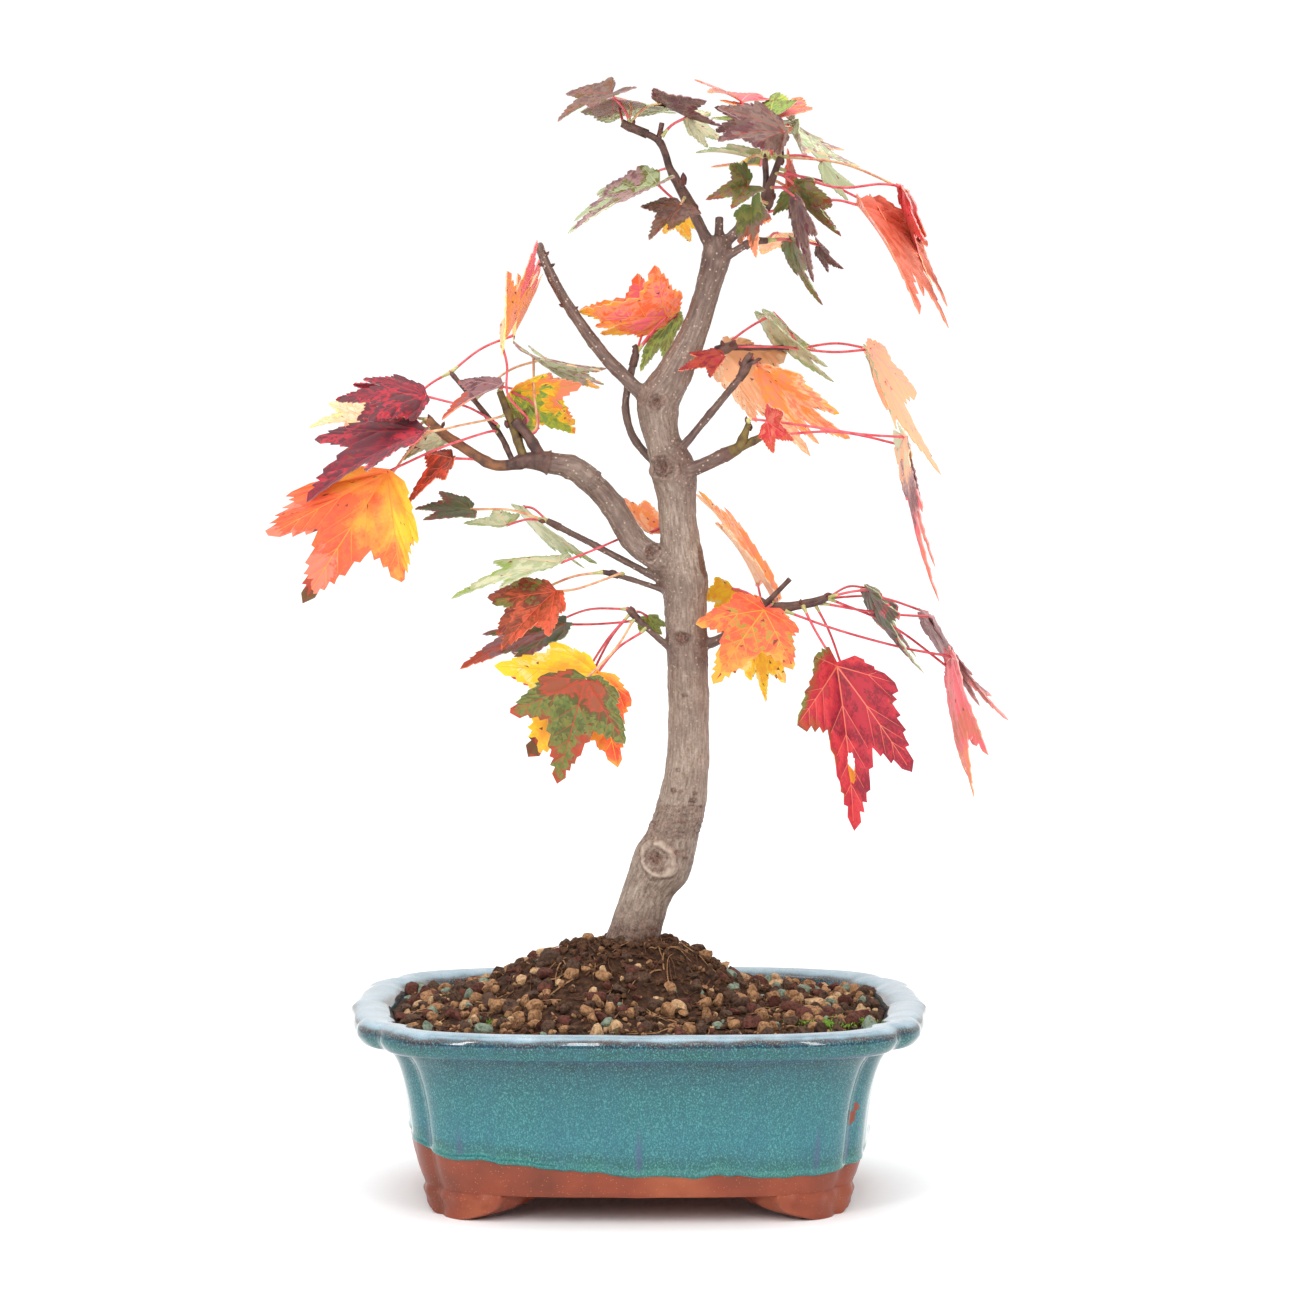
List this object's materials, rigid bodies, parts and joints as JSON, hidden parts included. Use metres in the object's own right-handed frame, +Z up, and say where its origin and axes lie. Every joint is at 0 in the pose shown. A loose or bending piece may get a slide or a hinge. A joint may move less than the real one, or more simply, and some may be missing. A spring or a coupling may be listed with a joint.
{
  "type": "red maple bonsai in a glazed pot",
  "caption": "Small red maple bonsai in autumn leaf, with a curved trunk and spare boughs, in a lobed glazed ceramic pot on cloud feet.",
  "frame": {"origin": "centre of the whole object's bounding box, at the level the pot's feet stand on", "axes": "+X along the pot's long side to the right seen from the front, +Y to the back, +Z up"},
  "size_m": [0.2702, 0.164, 0.4025],
  "materials": {
    "glaze": "turquoise glaze over a bare terracotta foot",
    "soil": "dark peat with fired clay grit",
    "bark": "smooth grey-brown bark with pale dots and pruning scars",
    "foliage": "thin autumn leaves on pink stalks"
  },
  "bodies": {
    "root": {"pot": "glaze", "soil": "soil", "trunk": "bark", "bough_left_inner": "bark", "bough_left_outer": "bark", "bough_upper_left": "bark", "bough_centre_left": "bark", "bough_right_upper": "bark", "bough_right_middle": "bark", "bough_right_low": "bark", "bough_left_middle": "bark", "bough_left_spur": "bark", "bough_left_low": "bark", "bough_crown_left": "bark", "bough_crown_right": "bark", "bough_crown_stub": "bark", "bough_crown_low": "bark", "foliage_left": "foliage", "foliage_left_middle": "foliage", "foliage_left_spur": "foliage", "foliage_left_low": "foliage", "foliage_centre_left": "foliage", "foliage_right_upper": "foliage", "foliage_right_centre": "foliage", "foliage_right_middle": "foliage", "foliage_right_low": "foliage", "foliage_crown_left": "foliage", "foliage_crown_right": "foliage", "foliage_crown_low": "foliage", "foliage_trunk_back": "foliage"}
  },
  "joints": []
}
